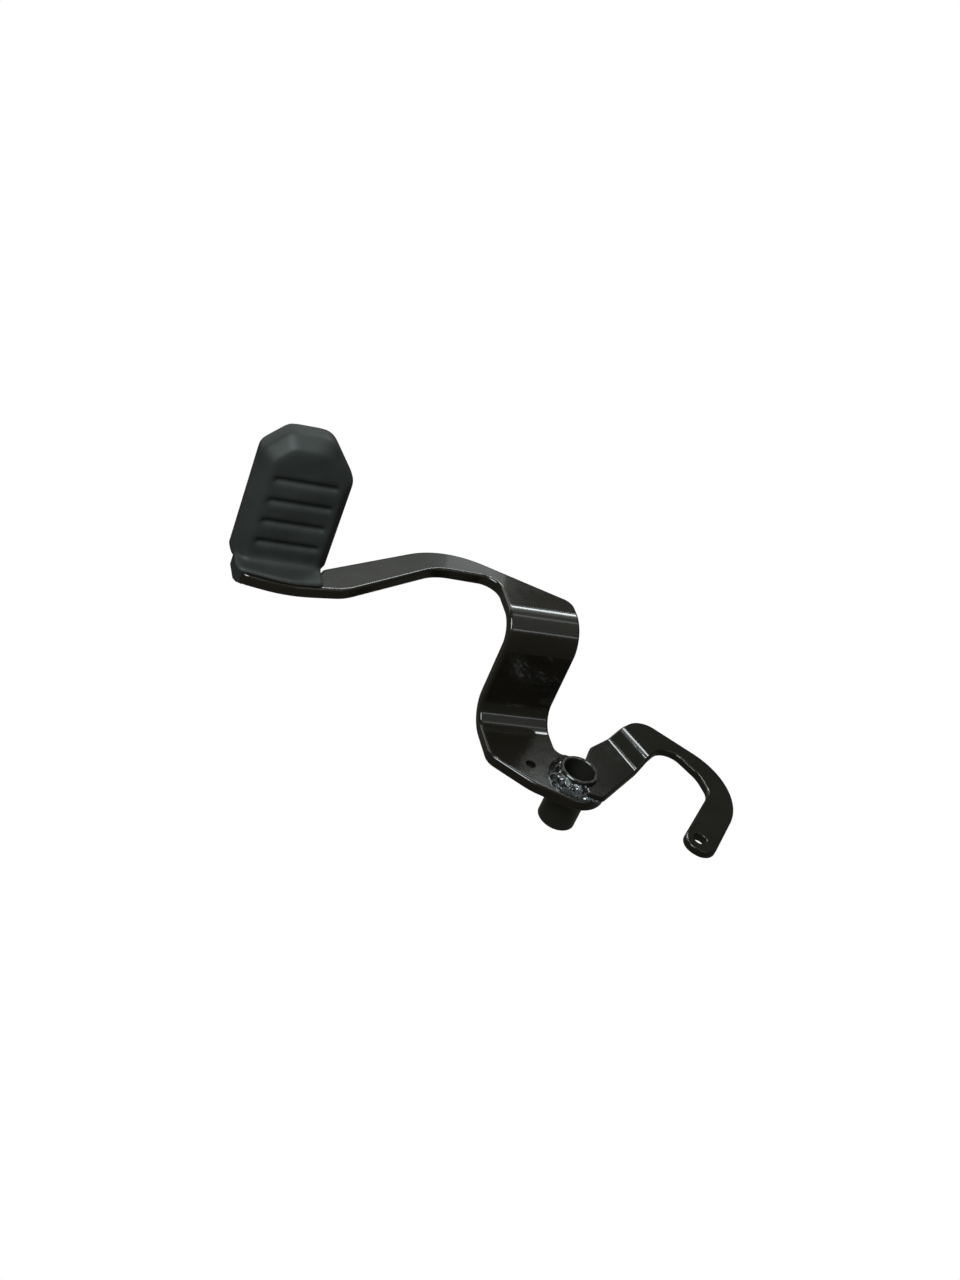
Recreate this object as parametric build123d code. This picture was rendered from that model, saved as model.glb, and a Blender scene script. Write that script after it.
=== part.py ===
from build123d import *
import math
import os

# Right-hand rear brake pedal of a motorbike.
# Frame: origin on the pivot axis in the outer face of the pivot plate, +X forward, +Z up,
# and the outer side of the bike is -Y. A "level" is a distance outward from the pivot plate.
# A named corner is its x, its z and its corner radius in the side view.

# Pivot tube
TUBE_OD = 18.4
TUBE_WALL = 1.7
TUBE_PROUD = 5.8            # beyond the outer face of the pedal arm
TUBE_INBOARD = 20.0         # beyond the inner face of the pedal arm
TUBE_CHAMFER = 0.4
WELD_GAP = 0.05             # radial room between the tube and the plates it is welded to

# Foot pad and the foot plate inside it share one centre line
PAD_MID_X = 149.15
PAD_W = 42.3
PAD_LEN = 64.5
PAD_BACK = PAD_MID_X - PAD_W / 2
PAD_FRONT = PAD_MID_X + PAD_W / 2

# Pedal arm, a bent stamping
ARM_T = 5.7
ARM_EDGE_R = 1.3
EYE_RIM = 6.8               # plate left round the pivot tube
SHELF_Z = -38.4             # upper face of the shelf that carries the arm outward
STEP_OUT = 54.3             # how far the shelf carries the front arm outward
BEND_R = 10.0               # inner radius of both bends of the shelf
SHELF_BACK = 5.2
SHELF_FRONT = 40.8
TIP_INSET = 3.0             # front end of the arm behind the front of the pad
SHOULDER = (23.0, 6.0, 30.0)
SHELF_HIGH = (SHELF_FRONT, -10.3, 9.0)
SHELF_LOW = (SHELF_FRONT, -73.0, 9.5)
DIP = (71.5, -74.0, 25.0)
RISE = (119.5, -46.4, 25.0)
BROW = (PAD_MID_X - 3.0, -42.6, 60.0)
TIP = (PAD_FRONT - TIP_INSET, -47.6, 4.5)
CREST = (65.1, -91.8, 42.0)
SHELF_REAR = (SHELF_BACK, -62.7, 7.0)
EYE_CORNER_R = 5.0
SPRING_HOLE = (21.0, -6.6)
SPRING_HOLE_D = 5.0
SPAN = 2 * (STEP_OUT + PAD_LEN)     # plate stock that the outlines are cut from

# Foot plate, a tongue folded outward from the front end of the arm
FOOT_TOP_Z = -60.6
FOOT_W = PAD_W - 18.8
FOOT_LEN = 57.0
FOLD_R = 4.0
LEDGE = 2.6                 # lower edge of the arm's end above the start of the fold
CUT_R = 1.7                 # corners of the blank where the tongue leaves the arm
HEEL_STEP = (5.0, 8.8)      # how far behind the tongue the arm's lower edge comes down
HEEL_R = 3.0

# Rear lever, a thinner stamping lying on the outer face of the arm
LEVER_T = 4.0
LEVER_EDGE_R = 0.9
JOGGLE = 4.0
JOGGLE_AT = (31.5, 39.5)    # start and end of the joggle, measured rearward
JOGGLE_DIR = (-0.931, -0.365)
JOGGLE_R = 5.0
ROOT_LOW = (-4.0, -5.0, 0.0)
NECK = (-11.8, -18.6, 3.5)
BELLY = (-42.7, -38.9, 11.0)
HOOK_BACK = (-88.0, 3.6, 34.0)
HOOK_TIP = (-49.8, 52.7, 7.3)
HOOK_NOSE = (-37.7, 42.5, 7.3)
THROAT_HIGH = (-64.4, 9.4, 9.0)
THROAT_BACK = (-62.8, -2.5, 18.0)
THROAT_LOW = (-51.6, -22.2, 8.8)
ROOT_HIGH = (-9.0, 15.5, 4.0)
HORN = 4.1                  # lever left beyond the tube where it ends in a half-round seat
HORN_X = -1.0
HOOK_END_X = -34.0          # the hook's free end stays behind this, on the raised level
ROD_HOLE = (-47.9, 40.8)
ROD_HOLE_D = 6.0
ROD_HOLE_EDGE_R = 0.7       # on the outer face

# Weld bead between tube, lever and arm
BEAD_FROM = -124.0
BEAD_TO = 97.0
BEAD_HEIGHT = 4.6
BEAD_LEG = 4.5
BEAD_BULGE = 0.5

# Rubber pad
PAD_TOP = 4.5               # rubber above the foot plate
PAD_UNDER = 4.0             # rubber below the foot plate
FRONT_CLIP = (10.0, 10.0)   # along X and along the length
REAR_CLIP = (14.0, 18.5)
PAD_CORNER_R = 5.0
PAD_REAR_R = 9.0            # the outer rear corner is rounder than the others
BEVEL_IN = 4.5
BEVEL_DOWN = 6.0
PAD_EDGE_R = 1.2
GROOVE_FIRST = 12.2         # from the arm's outer face to the first groove
GROOVE_PITCH = 10.65
GROOVE_COUNT = 4
GROOVE_TOP_W = 3.4
GROOVE_FLOOR_W = 2.0
GROOVE_DEPTH = 1.6
GROOVE_END = 2.5            # tread left at each end of a groove
FLAP_T = 2.0
FLAP_BACK = PAD_BACK + 3.0
FLAP_TOP_Z = -45.6
FLAP_DROP = 3.2             # front end of the flap below its rear end


def outline(corners):
    """Closed outline through corners, each with its own radius."""
    points = [(x, z) for x, z, r in corners]
    return make_face(FilletPolyline(*points, radius=[r for x, z, r in corners], close=True))


def side_plate(sketch, level_from, level_to):
    """A side-view sketch given thickness between two levels."""
    return extrude(Plane.XZ.offset(level_from) * sketch, level_to - level_from)


def axial_cylinder(x, z, radius, level_from, level_to):
    return side_plate(Pos(x, z) * Circle(radius), level_from, level_to)


def moved_corners(points, distance):
    """The same open path moved sideways to its left, corner by corner."""
    vectors = [Vector(*p) for p in points]
    normals = [(b - a).normalized().rotate(Axis.Z, 90) for a, b in zip(vectors, vectors[1:])]
    moved = [vectors[0] + normals[0] * distance]
    for corner, n1, n2 in zip(vectors[1:-1], normals, normals[1:]):
        moved.append(corner + (n1 + n2) * (distance / (1 + n1.dot(n2))))
    moved.append(vectors[-1] + normals[-1] * distance)
    return moved


def bent_strip(points, inner_radii, thickness):
    """Cross-section of a bent plate: a path along one face, thickened to its left."""
    vectors = [Vector(*p) for p in points]
    near_radii = []
    far_radii = []
    for a, b, c, r in zip(vectors, vectors[1:], vectors[2:], inner_radii):
        left_turn = (b - a).cross(c - b).Z > 0
        near_radii.append(r + thickness if left_turn else r)
        far_radii.append(r if left_turn else r + thickness)
    near = FilletPolyline(*points, radius=near_radii)
    far = FilletPolyline(*moved_corners(points, thickness), radius=far_radii)
    return make_face([near, far, Line(near @ 0, far @ 0), Line(near @ 1, far @ 1)])


def sharp_edges(body):
    """Edges where two faces meet at a clear angle."""
    owners = {}
    for face in body.faces():
        for edge in face.edges():
            owners.setdefault(edge, []).append(face)
    sharp = []
    for edge, faces in owners.items():
        if len(faces) == 2:
            middle = edge.position_at(0.5)
            normals = [f.normal_at(middle) for f in faces]
            if normals[0].get_angle(normals[1]) > 25:
                sharp.append(edge)
    return sharp


def touching_point(x, z, radius):
    """Where a line from (x, z) touches the upper side of a circle round the pivot."""
    angle = math.atan2(z, x) + math.acos(radius / math.hypot(x, z))
    return radius * math.cos(angle), radius * math.sin(angle), 0.0


def arm_outline():
    """Side view of the arm: eye, shelf, front arm and the root of its tongue."""
    eye_r = TUBE_OD / 2 + EYE_RIM
    foot_back = PAD_MID_X - FOOT_W / 2
    foot_front = PAD_MID_X + FOOT_W / 2
    fold_z = FOOT_TOP_Z + FOLD_R
    ledge_z = fold_z + LEDGE
    blade = outline([
        (0.0, 0.0, 0.0),
        touching_point(*SHOULDER[:2], eye_r),
        SHOULDER,
        SHELF_HIGH,
        SHELF_LOW,
        DIP,
        RISE,
        BROW,
        TIP,
        (TIP[0], ledge_z, CUT_R),
        (foot_front, ledge_z, CUT_R),
        (foot_front, fold_z, 0.0),
        (foot_back, fold_z, 0.0),
        (foot_back, ledge_z, CUT_R),
        (foot_back - HEEL_STEP[0], ledge_z, HEEL_R),
        (foot_back - HEEL_STEP[1], FOOT_TOP_Z + 0.6, HEEL_R),
        CREST,
        SHELF_REAR,
        (SHELF_BACK, 0.0, 0.0),
    ])
    blade += Circle(eye_r)
    on_back = blade.vertices().filter_by(lambda v: abs(v.X - SHELF_BACK) < 0.01)
    inner = on_back.filter_by(lambda v: abs(math.hypot(v.X, v.Y) - eye_r) < 0.01)
    return fillet(inner, EYE_CORNER_R)


def shelf_stock():
    """Bent strip seen from the front: pivot plate, shelf, front arm, then flat plate."""
    flat_from = SHELF_FRONT + 20
    path = [(0, SPAN), (0, SHELF_Z), (-STEP_OUT, SHELF_Z), (-STEP_OUT, -SPAN)]
    section = bent_strip(path, [BEND_R, BEND_R], ARM_T)
    stepped = extrude(Plane.YZ.offset(-SPAN) * section, SPAN + flat_from)
    flat = Pos(-STEP_OUT + ARM_T / 2, 0) * Rectangle(ARM_T, 2 * SPAN)
    return stepped + extrude(Plane.YZ.offset(flat_from) * flat, SPAN)


def foot_plate():
    """Fold and tongue under the rubber, as one bent strip with clipped corners."""
    reach = STEP_OUT + FOOT_LEN
    start = FOOT_TOP_Z + FOLD_R + LEDGE / 4
    path = [(-STEP_OUT, start), (-STEP_OUT, FOOT_TOP_Z), (-reach, FOOT_TOP_Z)]
    section = bent_strip(path, [FOLD_R], ARM_T)
    tongue = extrude(Plane.YZ.offset(PAD_MID_X - FOOT_W / 2) * section, FOOT_W)
    tips = tongue.edges().filter_by(Axis.Z).group_by(Axis.Y)[0]
    tongue = chamfer(tips, FOOT_W * 0.38)
    half_way = -STEP_OUT - FOOT_LEN / 2
    outer = tongue.edges().filter_by(Axis.Z).filter_by(lambda e: e.center().Y < half_way)
    return fillet(outer, CUT_R)


def pedal_arm():
    blade = side_plate(arm_outline(), -SPAN, SPAN)
    arm = ((blade & shelf_stock()) + foot_plate()).solid()
    arm = arm.fillet(ARM_EDGE_R, sharp_edges(arm))
    arm -= axial_cylinder(0, 0, TUBE_OD / 2 + WELD_GAP, -2 * ARM_T, ARM_T)
    arm -= axial_cylinder(*SPRING_HOLE, SPRING_HOLE_D / 2, -2 * ARM_T, ARM_T)
    return arm


def lever_outline():
    """Side view of the rear lever, from its seat on the tube round the hook and back."""
    horn_z = TUBE_OD / 2 + HORN
    return outline([
        ROOT_LOW,
        NECK,
        BELLY,
        HOOK_BACK,
        HOOK_TIP,
        HOOK_NOSE,
        THROAT_HIGH,
        THROAT_BACK,
        THROAT_LOW,
        ROOT_HIGH,
        (HORN_X, horn_z, 0.0),
        (HORN_X, 0.0, 0.0),
    ])


def joggled_stock():
    """Plate with a joggle, seen along the joggle's lines. The hook's free end reaches back
    over those lines, so its corner of the plate is flat and on the raised level."""
    high = LEVER_T + JOGGLE
    path = [(SPAN, high), (JOGGLE_AT[1], high), (JOGGLE_AT[0], LEVER_T), (-SPAN, LEVER_T)]
    section = bent_strip(path, [JOGGLE_R, JOGGLE_R], LEVER_T)
    ux, uz = JOGGLE_DIR
    along = Plane(origin=(0, 0, 0), x_dir=(ux, 0, uz), z_dir=(uz, 0, -ux))
    plate = extrude(along * section, SPAN, both=True)
    corner = Pos(HOOK_END_X - SPAN / 2, SPAN / 2) * Rectangle(SPAN, SPAN)
    plate -= side_plate(corner, -SPAN, SPAN)
    return plate + side_plate(corner, JOGGLE, high)


def rear_lever():
    blade = side_plate(lever_outline(), -SPAN, SPAN)
    lever = (blade & joggled_stock()).solid()
    lever = lever.fillet(LEVER_EDGE_R, sharp_edges(lever))
    lever -= axial_cylinder(0, 0, TUBE_OD / 2 + WELD_GAP, -LEVER_T, 2 * LEVER_T)
    lever -= axial_cylinder(*ROD_HOLE, ROD_HOLE_D / 2, 0, 2 * LEVER_T + JOGGLE)
    rims = lever.edges().filter_by(GeomType.CIRCLE)
    rims = rims.filter_by(lambda e: abs(e.radius - ROD_HOLE_D / 2) < 0.001)
    return fillet(rims.sort_by(Axis.Y)[0], ROD_HOLE_EDGE_R)


def pivot_tube():
    inboard = -ARM_T - TUBE_INBOARD
    tube = axial_cylinder(0, 0, TUBE_OD / 2, inboard, TUBE_PROUD)
    tube -= axial_cylinder(0, 0, TUBE_OD / 2 - TUBE_WALL, inboard - 1, TUBE_PROUD + 1)
    rims = tube.edges().filter_by(GeomType.CIRCLE)
    return chamfer(rims, TUBE_CHAMFER)


def weld_bead(lever):
    """Fillet weld round the tube, from one side of the lever's seat to the other."""
    inner = TUBE_OD / 2
    bulge = BEAD_LEG / 2 + BEAD_BULGE
    with BuildSketch(Plane.XY) as section:
        with BuildLine():
            Spline([(inner, BEAD_HEIGHT), (inner + bulge, BEAD_HEIGHT / 2), (inner + BEAD_LEG, 0)])
            Polyline([(inner + BEAD_LEG, 0), (inner, 0), (inner, BEAD_HEIGHT)])
        make_face()
    # The section's x is the radius and its y the level outward.
    start = Plane(origin=(0, 0, 0), x_dir=(1, 0, 0), z_dir=(0, 0, -1))
    upward = Axis((0, 0, 0), (0, -1, 0))
    body = revolve(start * section.sketch, upward, BEAD_TO - BEAD_FROM)
    return Rot(0, -BEAD_FROM, 0) * body - lever


def pad_plan(inset, height):
    """Plan of the pad at one height: straight sides and clipped outer corners."""
    x0 = PAD_BACK + inset
    x1 = PAD_FRONT - inset
    near = -STEP_OUT
    far = near - PAD_LEN + inset
    less = inset * 0.6
    return Plane.XY.offset(height) * outline([
        (x0, near, 0.0),
        (x1, near, 0.0),
        (x1, far + FRONT_CLIP[1] - less, PAD_CORNER_R),
        (x1 - FRONT_CLIP[0] + less, far, PAD_CORNER_R),
        (x0 + REAR_CLIP[0] - less, far, PAD_REAR_R),
        (x0, far + REAR_CLIP[1] - less, PAD_CORNER_R),
    ])


def pad_block():
    """Outer form of the pad: an upright wall and a bevel up to the tread."""
    top = FOOT_TOP_Z + PAD_TOP
    bottom = FOOT_TOP_Z - ARM_T - PAD_UNDER
    shoulder = top - BEVEL_DOWN
    wall = extrude(pad_plan(0, bottom), shoulder - bottom)
    block = (wall + loft([pad_plan(0, shoulder), pad_plan(BEVEL_IN, top)])).solid()
    outer = block.edges().filter_by(lambda e: e.bounding_box().min.Y < -STEP_OUT - 0.1)
    return fillet(outer, PAD_EDGE_R)


def groove():
    """One tapered groove across the tread, at the arm's outer face."""
    top = FOOT_TOP_Z + PAD_TOP
    half_top = GROOVE_TOP_W / 2
    half_floor = GROOVE_FLOOR_W / 2
    deep = top - GROOVE_DEPTH
    corners = [
        (-STEP_OUT - half_top, top),
        (-STEP_OUT - half_floor, deep),
        (-STEP_OUT + half_floor, deep),
        (-STEP_OUT + half_top, top),
    ]
    section = make_face(Polyline(*corners, close=True))
    start = PAD_BACK + BEVEL_IN + GROOVE_END
    return extrude(Plane.YZ.offset(start) * section, PAD_W - 2 * (BEVEL_IN + GROOVE_END))


def pad_flap():
    """Thin lip that covers the outer face and the front tip of the arm's end."""
    front = TIP[0] + FLAP_T
    base = FOOT_TOP_Z - 1
    lip = outline([
        (FLAP_BACK, base, 0.0),
        (FLAP_BACK, FLAP_TOP_Z, 1.0),
        (BROW[0], FLAP_TOP_Z + FLAP_DROP / 2, 40.0),
        (front, FLAP_TOP_Z - FLAP_DROP, 4.0),
        (front, base, 0.0),
    ])
    return side_plate(lip, STEP_OUT - ARM_T, STEP_OUT + FLAP_T)


def rubber_pad(arm):
    pad = pad_block() + pad_flap()
    for n in range(GROOVE_COUNT):
        pad -= Pos(0, -GROOVE_FIRST - n * GROOVE_PITCH, 0) * groove()
    pad -= arm
    return max(pad.solids(), key=lambda s: s.volume)


def main():
    os.makedirs("parts", exist_ok=True)
    arm = pedal_arm()
    lever = rear_lever()
    pieces = {
        "pedal_arm": arm,
        "rear_lever": lever,
        "pivot_tube": pivot_tube(),
        "weld_bead": weld_bead(lever),
        "rubber_pad": rubber_pad(arm),
    }
    for name, body in pieces.items():
        solids = body.solids()
        print(name, len(solids), [round(s.volume, 1) for s in solids])
        export_step(solids[0], f"parts/{name}.step")


main()
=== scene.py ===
import math

import bmesh
import bpy
import numpy as np
from mathutils import Matrix


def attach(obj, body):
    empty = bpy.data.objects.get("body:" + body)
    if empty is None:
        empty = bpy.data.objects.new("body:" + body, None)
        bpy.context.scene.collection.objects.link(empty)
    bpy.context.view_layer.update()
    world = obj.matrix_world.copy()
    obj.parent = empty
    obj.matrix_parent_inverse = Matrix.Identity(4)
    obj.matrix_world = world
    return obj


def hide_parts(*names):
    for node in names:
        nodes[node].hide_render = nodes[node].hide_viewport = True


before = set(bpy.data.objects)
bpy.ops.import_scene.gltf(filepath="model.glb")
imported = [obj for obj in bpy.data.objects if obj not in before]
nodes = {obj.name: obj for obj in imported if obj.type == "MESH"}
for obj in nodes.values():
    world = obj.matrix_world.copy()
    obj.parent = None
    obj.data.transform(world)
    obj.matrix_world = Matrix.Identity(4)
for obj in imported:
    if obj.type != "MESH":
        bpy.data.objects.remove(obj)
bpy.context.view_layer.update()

# The pedal arm.
# One bent stamping of thick steel plate, cut to shape, bent at both ends of its shelf
# and folded under the foot pad. It is dipped in gloss black paint after welding.


class Signal:
    """A value that varies over a surface, with Python's operators on it."""

    def __init__(self, finish, socket):
        self.finish = finish
        self.socket = socket

    def _maths(self, operation, first, second):
        return self.finish.node("ShaderNodeMath", {"operation": operation}, {0: first, 1: second})

    def __add__(self, other):
        return self._maths("ADD", self, other)

    def __sub__(self, other):
        return self._maths("SUBTRACT", self, other)

    def __rsub__(self, other):
        return self._maths("SUBTRACT", other, self)

    def __mul__(self, other):
        return self._maths("MULTIPLY", self, other)

    def __pow__(self, other):
        return self._maths("POWER", self, other)

    __radd__ = __add__
    __rmul__ = __mul__

    def output(self, name):
        """Another output of the same node."""
        return Signal(self.finish, self.socket.node.outputs[name])

    def between(self, low, high):
        """Smooth step from 0 at low to 1 at high."""
        settings = {"interpolation_type": "SMOOTHSTEP"}
        inputs = {"Value": self, "From Min": low, "From Max": high}
        return self.finish.node("ShaderNodeMapRange", settings, inputs)


class Finish:
    """The nodes of one material or of the room, all added through a single method."""

    def __init__(self, owner):
        owner.use_nodes = True
        self.owner = owner
        self.tree = owner.node_tree

    def node(self, kind, settings, inputs, output=0):
        """A node of one kind, its settings first and then its inputs' values or links."""
        made = self.tree.nodes.new(kind)
        for key, value in settings.items():
            setattr(made, key, value)
        for key, value in inputs.items():
            self.plug(value, made.inputs[key])
        return Signal(self, made.outputs[output])

    def plug(self, value, socket):
        """A link or a plain value on one socket."""
        if isinstance(value, Signal):
            self.tree.links.new(value.socket, socket)
        else:
            socket.default_value = value

    def ready(self, name):
        """First output of a node that is there from the start."""
        return Signal(self, self.tree.nodes[name].outputs[0])

    def surface(self, shader, output):
        """What the surface shows, instead of the plain shader."""
        self.plug(shader, self.tree.nodes[output].inputs["Surface"])

    def place(self):
        """Position on the pedal, in metres."""
        return self.node("ShaderNodeTexCoord", {}, {}, "Object")

    def noise(self, size, detail=2.0, roughness=0.5):
        """Cloudy noise whose blotches are about one size across, in metres."""
        inputs = {"Vector": self.place(), "Scale": 1 / size, "Detail": detail}
        return self.node("ShaderNodeTexNoise", {}, {**inputs, "Roughness": roughness}, "Fac")

    def blend(self, mask, first, second):
        """Colour from first to second as the mask goes from 0 to 1."""
        inputs = {0: mask, 6: (*first, 1.0), 7: (*second, 1.0)}
        return self.node("ShaderNodeMix", {"data_type": "RGBA"}, inputs, 2)

    def set(self, **values):
        """Sockets of the plain shader by name, with spaces written as underscores."""
        shader = self.tree.nodes["Principled BSDF"]
        for key, value in values.items():
            self.plug(value, shader.inputs[key.replace("_", " ")])

    def bump(self, height, distance):
        """Relief whose full height is a distance in metres."""
        inputs = {"Height": height, "Distance": distance, "Strength": 1.0}
        self.set(Normal=self.node("ShaderNodeBump", {}, inputs))


SAG_SIZE = 0.009
PEEL_SIZE = 0.0011
PEEL_SHARE = 0.03
CLOUD_SIZE = 0.03
DULL_SIZE = 0.012
PAINT_ROUGHNESS = 0.17
DULL_ROUGHNESS = 0.06


def gloss_black(name, skin_depth):
    """Thick gloss paint under a clear coat. Its skin is a share of slow sagging and a share
    of fine orange peel."""
    paint = Finish(bpy.data.materials.new(name))
    sag = paint.noise(SAG_SIZE, 1.0)
    peel = paint.noise(PEEL_SIZE, 1.0)
    paint.set(IOR=1.52, Coat_Weight=0.8, Coat_Roughness=0.05)
    paint.bump(sag * (1 - PEEL_SHARE) + peel * PEEL_SHARE, skin_depth)
    return paint


def cloud_over(paint, depth, haze):
    """Two near-black tones that change places in soft clouds."""
    cloud = paint.noise(CLOUD_SIZE, 3.0).between(0.35, 0.7)
    paint.set(Base_Color=paint.blend(cloud, depth, haze))


def dull_in_patches(paint):
    """Gloss that drops a little where handling has dulled it."""
    dull = paint.noise(DULL_SIZE, 4.0, 0.6).between(0.45, 0.75)
    paint.set(Roughness=PAINT_ROUGHNESS + dull * DULL_ROUGHNESS)


def wear(node, finish):
    """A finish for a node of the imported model."""
    for slot in nodes[node].material_slots:
        slot.material = finish.owner


arm_paint = gloss_black("arm_paint", skin_depth=0.00006)
cloud_over(arm_paint, depth=(0.011, 0.010, 0.0065), haze=(0.017, 0.013, 0.009))
dull_in_patches(arm_paint)
wear("pedal_arm", arm_paint)

# The rear lever.
# A thinner stamping that ends in a seat against the pivot tube, steps outward and hooks
# round to the hole for the brake rod. It is welded on before the whole pedal is painted.

lever_paint = gloss_black("lever_paint", skin_depth=0.00002)
cloud_over(lever_paint, depth=(0.011, 0.011, 0.008), haze=(0.016, 0.016, 0.012))
dull_in_patches(lever_paint)
lever_paint.set(Coat_Roughness=0.02, Specular_IOR_Level=0.3)
wear("rear_lever", lever_paint)

# The pivot tube.
# A short length of drawn tube through the plate. Its outside is painted with the rest,
# and its bore keeps a thin, dull coat that the pivot shaft has not yet worn.

TUBE_RADIUS = 0.0092
BORE_RADIUS = 0.0075
RIM_INNER = BORE_RADIUS + 0.0002
RIM_OUTER = BORE_RADIUS + 0.0006
BORE_ROUGHNESS = 0.62
WALL_GLOSS = 0.4

tube_paint = gloss_black("tube_paint", skin_depth=0.00006)
cloud_over(tube_paint, depth=(0.012, 0.012, 0.009), haze=(0.022, 0.022, 0.018))
forward = tube_paint.node("ShaderNodeSeparateXYZ", {}, {0: tube_paint.place()})
upward = forward.output("Z")
from_axis = (forward * forward + upward * upward) ** 0.5
outside = from_axis.between(RIM_INNER, RIM_OUTER)
tube_paint.set(Roughness=BORE_ROUGHNESS - outside * WALL_GLOSS)
wear("pivot_tube", tube_paint)

# The weld bead.
# A hand-laid bead that ties the tube to the plate on the side that the lever leaves open,
# with a short run along the lever's edge. Gloss paint lies thick on its ripples and lumps,
# and has come off its upper side in spots, down to the bright metal.

BEAD_START = math.radians(-134)
BEAD_END = math.radians(103)
BEAD_LEG = 0.0046
BEAD_BULGE = 0.0006
BEAD_SINK = 0.0003
BEAD_TAPER = 0.02
RIPPLE_PITCH = 0.0021
RIPPLE_HEIGHT = 0.00012
LUMP_HEIGHT = 0.00045

TAIL_FIRST = (0.0006, 0.0124)
TAIL_LAST = (-0.0090, 0.0142)
TAIL_RADIUS = 0.0019
TAIL_FLATNESS = 0.85
TAIL_SINK = 0.0002
TAIL_WANDER = 0.0003
TAIL_RIPPLE = 0.0001
TAIL_LUMP = 0.0002

PAINT_TONE = (0.010, 0.010, 0.010)
METAL_TONE = (0.50, 0.57, 0.62)
SPOT_SIZE = 0.004
SPOTS_FROM = 0.002
SPOTS_FULL = 0.008


def in_scene(name, data):
    """New object in the scene, at the origin."""
    made = bpy.data.objects.new(name, data)
    bpy.context.collection.objects.link(made)
    return made


def closed_skin(name, points):
    """Mesh of a grid of points: quads over the grid, a floor between its two long edges,
    and one face over each end."""
    rows, columns = points.shape[:2]
    index = np.arange(rows * columns).reshape(rows, columns)
    low, high = index[:-1], index[1:]
    quads = np.stack([low[:, :-1], low[:, 1:], high[:, 1:], high[:, :-1]], -1).reshape(-1, 4)
    floor = np.stack([index[:-1, -1], index[:-1, 0], index[1:, 0], index[1:, -1]], -1)
    faces = [*quads.tolist(), *floor.tolist(), index[0, ::-1].tolist(), index[-1].tolist()]
    mesh = bpy.data.meshes.new(name)
    mesh.from_pydata(points.reshape(-1, 3), [], faces)
    mesh.shade_smooth()
    return in_scene(name, mesh)


def laid_bead(name):
    """Weld bead round the tube. Across it, v runs from the tube down to the plate along a
    slightly bulged chord. Along the arc u, crescent ripples and slow waves push that
    chord in and out, and both ends close inside the lever."""
    u, v = np.meshgrid(np.linspace(0, 1, 420), np.linspace(0, 1, 48), indexing="ij")
    angle = BEAD_START + (BEAD_END - BEAD_START) * u
    laid = angle * (TUBE_RADIUS + BEAD_LEG / 2) / RIPPLE_PITCH
    warp = 0.35 * np.sin(5.0 * angle + 1.0) + 0.25 * np.sin(11.0 * angle + 4.0 * v)
    crescent = 1.1 * (v - 0.5) ** 2
    ripple = np.abs(np.sin(math.pi * (laid + warp + crescent))) ** 0.8
    lumps = np.sin(3.7 * angle + 0.4) * np.sin(1.6 * math.pi * v + 2.0 * angle)
    lumps += 0.5 * np.sin(7.3 * angle + 2.1) * np.cos(2.2 * math.pi * v - 3.0 * angle)
    taper = np.clip(np.minimum(u, 1 - u) / BEAD_TAPER, 0, 1) ** 0.5
    belly = np.sin(math.pi * v) ** 0.7
    out = belly * (BEAD_BULGE + RIPPLE_HEIGHT * ripple + LUMP_HEIGHT * lumps)
    leg = BEAD_LEG * (1 + 0.06 * np.sin(4.1 * angle) + 0.04 * np.sin(9.7 * angle + 1.0))
    radius = TUBE_RADIUS + taper * (leg * v + out) - BEAD_SINK
    level = taper * (leg * (1 - v) + out) - BEAD_SINK
    points = np.stack([radius * np.cos(angle), -level, radius * np.sin(angle)], -1)
    return closed_skin(name, points)


def edge_bead(name):
    """Short bead along the lever's edge. The path u is a straight line with a slow wave, and
    across it v goes half round a flattened circle, whose radius swells in the middle and
    with each ripple and lump."""
    u, v = np.meshgrid(np.linspace(0, 1, 160), np.linspace(0, 1, 40), indexing="ij")
    first, last = np.array(TAIL_FIRST), np.array(TAIL_LAST)
    way = last - first
    length = np.linalg.norm(way)
    aside = np.array([way[1], -way[0]]) / length
    swell = np.sin(math.pi * np.clip(u, BEAD_TAPER, 1 - BEAD_TAPER)) ** 0.4
    ripple = np.abs(np.sin(math.pi * length / RIPPLE_PITCH * (u + 0.03 * np.sin(6.0 * v))))
    lumps = np.sin(9.0 * u + 3.0 * v) * np.cos(4.0 * v + 1.0)
    radius = swell * (TAIL_RADIUS + TAIL_RIPPLE * ripple + TAIL_LUMP * lumps)
    across = TAIL_WANDER * np.sin(7.0 * u) - radius * np.cos(math.pi * v)
    x, z = (first[k] + way[k] * u + aside[k] * across for k in range(2))
    level = TAIL_FLATNESS * radius * np.sin(math.pi * v) - TAIL_SINK
    return closed_skin(name, np.stack([x, -level, z], -1))


bead_paint = gloss_black("bead_paint", skin_depth=0.00004)
dull_in_patches(bead_paint)
position = bead_paint.node("ShaderNodeSeparateXYZ", {}, {0: bead_paint.place()})
upper_side = position.output("Z").between(SPOTS_FROM, SPOTS_FULL)
bare = bead_paint.noise(SPOT_SIZE, 2.0).between(0.44, 0.54) * upper_side
bead_paint.set(Base_Color=bead_paint.blend(bare, PAINT_TONE, METAL_TONE))
bead_paint.set(Metallic=bare, Coat_Weight=1.0)
for piece in (laid_bead("weld_ripples"), edge_bead("weld_tail")):
    piece.data.materials.append(bead_paint.owner)
    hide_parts("weld_bead")
    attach(piece, "root")

# The rubber pad.
# A block of dark rubber moulded over the foot plate, ribbed on top for grip, with a thin
# flap that laps up over the end of the arm. Its edges come soft and round from the mould.

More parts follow.
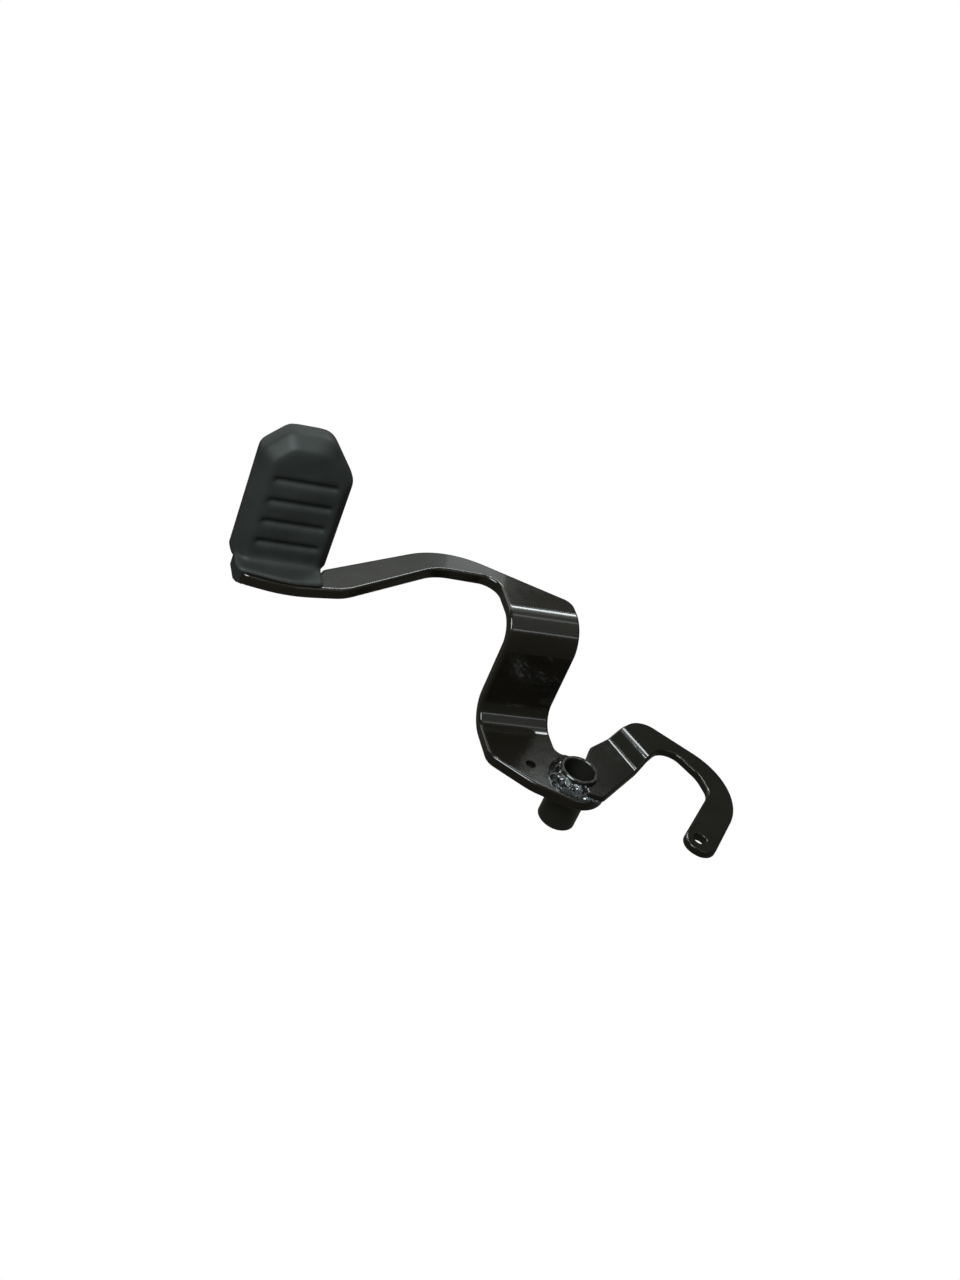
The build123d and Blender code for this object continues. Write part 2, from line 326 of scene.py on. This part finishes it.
PAD_GRID = 0.00045
PAD_MELT = 40
PAD_SKIN = 0.0004
ARM_FACE = 0.0543
ARM_TIP = 0.158
CLOSE_TO_ARM = 0.0008
FLAP_FOOT = -0.0575
FLAP_FACE = 0.0563
TREAD_Z = -0.0561
FOLD_RADIUS = 0.0038
FOLD_REACH = FOLD_RADIUS + 0.0006
FOLD_BACK = 0.1315
FOLD_FRONT = 0.1675
FOLD_FADE = 0.002

BLOOM_SIZE = 0.02
GRAIN_SIZE = 0.0006
GRAIN_DEPTH = 0.00004
RUBBER_ROUGHNESS = 0.5
GRAIN_ROUGHNESS = 0.16


def even_grid(node):
    """Mesh of a node's solid, merged and rebuilt on a fine even grid."""
    draft = in_scene("draft", nodes[node].data.copy())
    loose = bmesh.new()
    loose.from_mesh(draft.data)
    bmesh.ops.remove_doubles(loose, verts=loose.verts, dist=1e-6)
    loose.to_mesh(draft.data)
    loose.free()
    grid = draft.modifiers.new("grid", "REMESH")
    grid.mode = "VOXEL"
    grid.voxel_size = PAD_GRID
    draft.data.materials.clear()
    ready = draft.evaluated_get(bpy.context.evaluated_depsgraph_get())
    mesh = bpy.data.meshes.new_from_object(ready)
    bpy.data.objects.remove(draft)
    return mesh


def rows_of(values, name, kind, width):
    """One property of a mesh's points or edges as an array, one row to each of them."""
    flat = np.empty(len(values) * width, kind)
    values.foreach_get(name, flat)
    return flat.reshape(-1, width)


def move_to(mesh, point):
    """New places for a mesh's points."""
    mesh.vertices.foreach_set("co", point.astype(np.float32).ravel())
    mesh.update()


def folded(point):
    """Points with the corner between tread and flap filled out to a hollow. Those in the
    corner that lie further than one radius from the hollow's centre line move straight in
    to that radius, and the move fades out at both ends of the fold."""
    spoke = point[:, 1:] - [-FLAP_FACE - FOLD_RADIUS, TREAD_Z + FOLD_RADIUS]
    distance = np.maximum(np.linalg.norm(spoke, axis=1), FOLD_RADIUS)
    corner = (spoke[:, 0] > 0) & (spoke[:, 0] < FOLD_REACH)
    corner &= (spoke[:, 1] < 0) & (spoke[:, 1] > -FOLD_REACH)
    ends = np.minimum(point[:, 0] - FOLD_BACK, FOLD_FRONT - point[:, 0])
    drawn = corner * np.clip(ends / FOLD_FADE, 0, 1) * (FOLD_RADIUS / distance - 1)
    point[:, 1:] += drawn[:, None] * spoke
    return point


def moulded(node, name):
    """A node's solid with its creases melted. Each point moves many times half way to the
    mean of its neighbours, and out again along the normal by what the corners lost. Both
    moves fade to nothing at the arm's outer face, and no point of the flap lies further
    in than that face."""
    mesh = even_grid(node)
    mesh.name = name
    count = len(mesh.vertices)
    point = rows_of(mesh.vertices, "co", np.float32, 3).astype(float)
    one, other = rows_of(mesh.edges, "vertices", np.int32, 2).T
    neighbours = np.bincount(one, minlength=count) + np.bincount(other, minlength=count)
    flap = (point[:, 0] < ARM_TIP) & (point[:, 2] > FLAP_FOOT)
    point[flap, 1] = np.minimum(point[flap, 1], -ARM_FACE)
    free = np.clip((-point[:, 1] - ARM_FACE) / CLOSE_TO_ARM, 0, 1)[:, None]
    point = folded(point)
    for _ in range(PAD_MELT):
        total = [
            np.bincount(one, point[other, k], count) + np.bincount(other, point[one, k], count)
            for k in range(3)
        ]
        point += free * 0.5 * (np.stack(total, -1) / neighbours[:, None] - point)
    move_to(mesh, point)
    move_to(mesh, point + free * PAD_SKIN * rows_of(mesh.vertex_normals, "vector", np.float32, 3))
    mesh.shade_smooth()
    return in_scene(name, mesh)


rubber = Finish(bpy.data.materials.new("moulded_rubber"))
bloom = rubber.noise(BLOOM_SIZE, 4.0, 0.6).between(0.3, 0.75)
grain = rubber.noise(GRAIN_SIZE, 2.0)
rubber.set(Base_Color=rubber.blend(bloom, (0.026, 0.030, 0.029), (0.040, 0.046, 0.044)))
rubber.set(Roughness=RUBBER_ROUGHNESS + grain * GRAIN_ROUGHNESS, Specular_IOR_Level=0.5)
rubber.bump(grain, GRAIN_DEPTH)
pad = moulded("rubber_pad", "moulded_pad")
pad.data.materials.append(rubber.owner)
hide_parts("rubber_pad")
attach(pad, "root")

# The floor.
# A plain white sheet far below the pedal's front end and outward of it. It stops in front
# of the pivot, so that the paint there mirrors the dim room and not the sheet.

FLOOR_Z = -0.55
FLOOR_BACK = 0.05
FLOOR_INNER = 0.0
FLOOR_FAR = 0.9

corners = [(FLOOR_BACK, -FLOOR_FAR, FLOOR_Z), (FLOOR_FAR, -FLOOR_FAR, FLOOR_Z)]
corners += [(FLOOR_FAR, FLOOR_INNER, FLOOR_Z), (FLOOR_BACK, FLOOR_INNER, FLOOR_Z)]
floor_mesh = bpy.data.meshes.new("floor")
floor_mesh.from_pydata(corners, [], [[0, 1, 2, 3]])
floor = in_scene("floor", floor_mesh)

sheet = Finish(bpy.data.materials.new("white_sheet"))
sheet.set(Base_Color=(0.9, 0.9, 0.9, 1.0), Roughness=0.9, Specular_IOR_Level=0.0)
camera_ray = sheet.node("ShaderNodeLightPath", {}, {}, "Is Camera Ray")
glossy_ray = camera_ray.output("Is Glossy Ray")
through_ray = camera_ray.output("Is Transmission Ray")
seen = (camera_ray + glossy_ray + through_ray).between(0.0, 1.0)
matt = sheet.ready("Principled BSDF")
glow = sheet.node("ShaderNodeEmission", {}, {"Color": (1, 1, 1, 1), "Strength": 1.0})
either = sheet.node("ShaderNodeMixShader", {}, {0: seen, 1: matt, 2: glow})
sheet.surface(either, "Material Output")
floor.data.materials.append(sheet.owner)

# Light.
# A dim room with two wide soft panels straight out from the pedal. Thin tubes and bands
# above and below them draw the bright lines on its bends, low cards light the arm's face,
# a spark the lever's step, and a window in front the weld.

ROOM_TINT = (1.0, 0.98, 0.85, 1.0)
ROOM_STRENGTH = 0.06
LAMP_TINT = (0.92, 1.0, 1.0)
PEDAL_MIDDLE = np.array([0.04, -0.03, -0.03])

room = bpy.data.worlds.new("dim_room")
bpy.context.scene.world = room
walls = Finish(room)
dim = walls.ready("Background")
walls.plug(ROOM_TINT, dim.socket.node.inputs["Color"])
walls.plug(ROOM_STRENGTH, dim.socket.node.inputs["Strength"])
camera_ray = walls.node("ShaderNodeLightPath", {}, {}, "Is Camera Ray")
plain = walls.node("ShaderNodeBackground", {}, {"Color": (1.0, 1.0, 1.0, 1.0)})
either = walls.node("ShaderNodeMixShader", {}, {0: camera_ray, 1: dim, 2: plain})
walls.surface(either, "World Output")


def turned(right, up, back, place):
    """Placement whose own x, y and z point right, up and back."""
    rows = [[right[k], up[k], back[k], place[k]] for k in range(3)]
    return Matrix([*rows, [0, 0, 0, 1]])


def soft_light(name, first, last, width, radiance):
    """Rectangular light whose centre line runs between two points, turned to the pedal,
    with its power worked out from how bright it looks."""
    first, last = np.array(first), np.array(last)
    middle = (first + last) / 2
    length = np.linalg.norm(last - first)
    side = (last - first) / length
    back = middle - PEDAL_MIDDLE
    back -= side * side.dot(back)
    back /= np.linalg.norm(back)
    lamp = bpy.data.lights.new(name, "AREA")
    lamp.shape = "RECTANGLE"
    lamp.size, lamp.size_y = length, width
    lamp.energy = radiance * math.pi * length * width
    lamp.color = LAMP_TINT
    holder = in_scene(name, lamp)
    holder.matrix_world = turned(side, np.cross(back, side), back, middle)
    holder.visible_camera = False


def out_at(x, degrees, distance):
    """Point beside the pedal: its x, and how far round from straight outward to up."""
    turn = math.radians(degrees)
    _, y, z = PEDAL_MIDDLE
    return x, y - distance * math.cos(turn), z + distance * math.sin(turn)


# Each row: name, rear end, front end, degrees up, distance, width, radiance.
LAMPS = [
    ("panel", -0.12, 0.08, 6, 0.62, 0.75, 0.12),
    ("far_panel", -0.40, -0.12, 0, 0.63, 1.0, 0.2),
    ("low_band", -0.25, 0.02, -40, 0.5, 0.06, 10.0),
    ("low_glow", -0.25, 0.02, -31, 0.51, 0.14, 0.25),
    ("middle_tube", -0.25, -0.06, -8, 0.51, 0.05, 1.0),
    ("high_tube", -0.30, 0.02, 43, 0.5, 0.03, 2.2),
    ("near_card", -0.10, 0.06, -55, 0.5, 0.12, 0.34),
    ("far_card", -0.15, -0.10, -55, 0.5, 0.08, 1.0),
]
for name, rear, front, degrees, distance, width, radiance in LAMPS:
    ends = out_at(rear, degrees, distance), out_at(front, degrees, distance)
    soft_light(name, *ends, width, radiance)
soft_light("spark", (-0.03, -0.5445, -0.299), (-0.06, -0.548, -0.284), 0.02, 60.0)
soft_light("window", (0.24, -0.5, 0.15), (0.52, -0.42, 0.15), 0.3, 8.5)

# Camera.
# The viewpoint of the photograph: from the front right and above, rolled half over.

CAMERA_PLACE = (0.3258, -0.4484, 0.4964)
CAMERA_RIGHT = (-0.9189, -0.33, 0.2161)
CAMERA_UP = (0.1228, -0.76, -0.6383)
CAMERA_BACK = (0.3748, -0.56, 0.7389)

lens = bpy.data.cameras.new("viewpoint")
lens.lens = 45.0
lens.sensor_width = 36.0
lens.clip_start = 0.01
viewpoint = in_scene("viewpoint", lens)
viewpoint.matrix_world = turned(CAMERA_RIGHT, CAMERA_UP, CAMERA_BACK, CAMERA_PLACE)
bpy.context.scene.camera = viewpoint
bpy.context.scene.view_settings.view_transform = "Standard"

bpy.context.view_layer.update()
